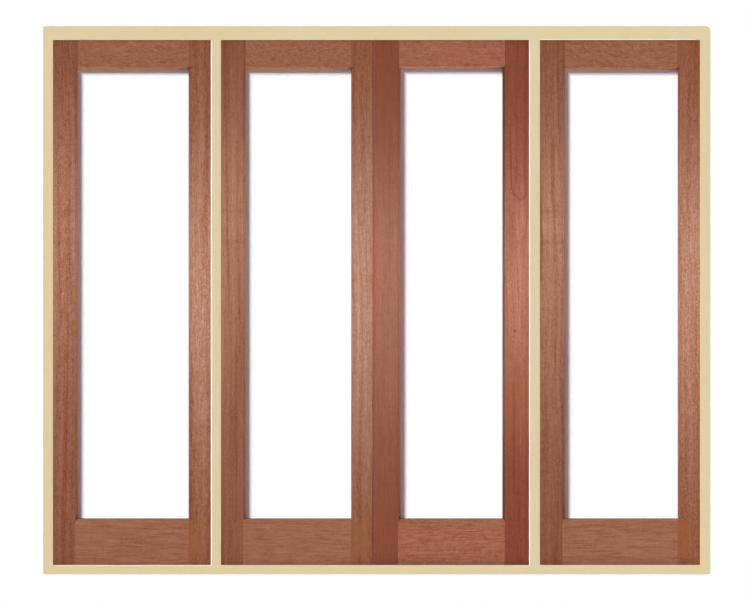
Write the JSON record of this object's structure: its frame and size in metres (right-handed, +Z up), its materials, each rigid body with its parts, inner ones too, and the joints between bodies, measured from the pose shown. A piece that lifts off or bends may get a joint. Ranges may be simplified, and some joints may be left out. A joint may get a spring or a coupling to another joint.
{
  "type": "french doors with sidelights",
  "caption": "Pair of fully glazed hardwood door leaves that swing on butt hinges in a pale frame, with a fixed glazed sidelight at each side.",
  "frame": {"origin": "middle of the sill's underside: halfway along the frame and halfway through its depth", "axes": "+X to the right seen from the front, +Y away from the viewer towards the hinge side, +Z up"},
  "size_m": [2.518, 0.081, 2.069],
  "materials": {
    "frame_wood": "smooth pale cream factory stain on planed softwood",
    "red_hardwood": "satin oiled reddish tropical hardwood with ribbon and fleck grain",
    "clear_glass": "clear float glass",
    "spacer_bar": "dull",
    "hinge_steel": "satin",
    "seal_rubber": "matt dark brown"
  },
  "bodies": {
    "frame": {"head": "frame_wood", "sill": "frame_wood", "left_jamb": "frame_wood", "left_mullion": "frame_wood", "right_mullion": "frame_wood", "right_jamb": "frame_wood", "left_sidelight_left_stile": "red_hardwood", "left_sidelight_right_stile": "red_hardwood", "left_sidelight_top_rail": "red_hardwood", "left_sidelight_bottom_rail": "red_hardwood", "left_sidelight_glass": "clear_glass", "left_sidelight_spacer": "spacer_bar", "left_sidelight_upright_beads": "red_hardwood", "left_sidelight_level_beads": "red_hardwood", "right_sidelight_left_stile": "red_hardwood", "right_sidelight_right_stile": "red_hardwood", "right_sidelight_top_rail": "red_hardwood", "right_sidelight_bottom_rail": "red_hardwood", "right_sidelight_glass": "clear_glass", "right_sidelight_spacer": "spacer_bar", "right_sidelight_upright_beads": "red_hardwood", "right_sidelight_level_beads": "red_hardwood", "left_frame_hinges": "hinge_steel", "left_hinge_pins": "hinge_steel", "right_frame_hinges": "hinge_steel", "right_hinge_pins": "hinge_steel"},
    "left_leaf": {"left_leaf_left_stile": "red_hardwood", "left_leaf_right_stile": "red_hardwood", "left_leaf_top_rail": "red_hardwood", "left_leaf_bottom_rail": "red_hardwood", "left_leaf_glass": "clear_glass", "left_leaf_spacer": "spacer_bar", "left_leaf_upright_beads": "red_hardwood", "left_leaf_level_beads": "red_hardwood", "left_leaf_hinges": "hinge_steel", "meeting_seal": "seal_rubber"},
    "right_leaf": {"right_leaf_left_stile": "red_hardwood", "right_leaf_right_stile": "red_hardwood", "right_leaf_top_rail": "red_hardwood", "right_leaf_bottom_rail": "red_hardwood", "right_leaf_glass": "clear_glass", "right_leaf_spacer": "spacer_bar", "right_leaf_upright_beads": "red_hardwood", "right_leaf_level_beads": "red_hardwood", "right_leaf_hinges": "hinge_steel"}
  },
  "joints": [
    {"name": "left_leaf_swing", "type": "hinge", "parent": "frame", "child": "left_leaf", "pos_m": [-0.597, 0.041, 0], "axis": [0, 0, 1], "range_deg": [0, 100]},
    {"name": "right_leaf_swing", "type": "hinge", "parent": "frame", "child": "right_leaf", "pos_m": [0.584, 0.041, 0], "axis": [0, 0, -1], "range_deg": [0, 100]}
  ]
}
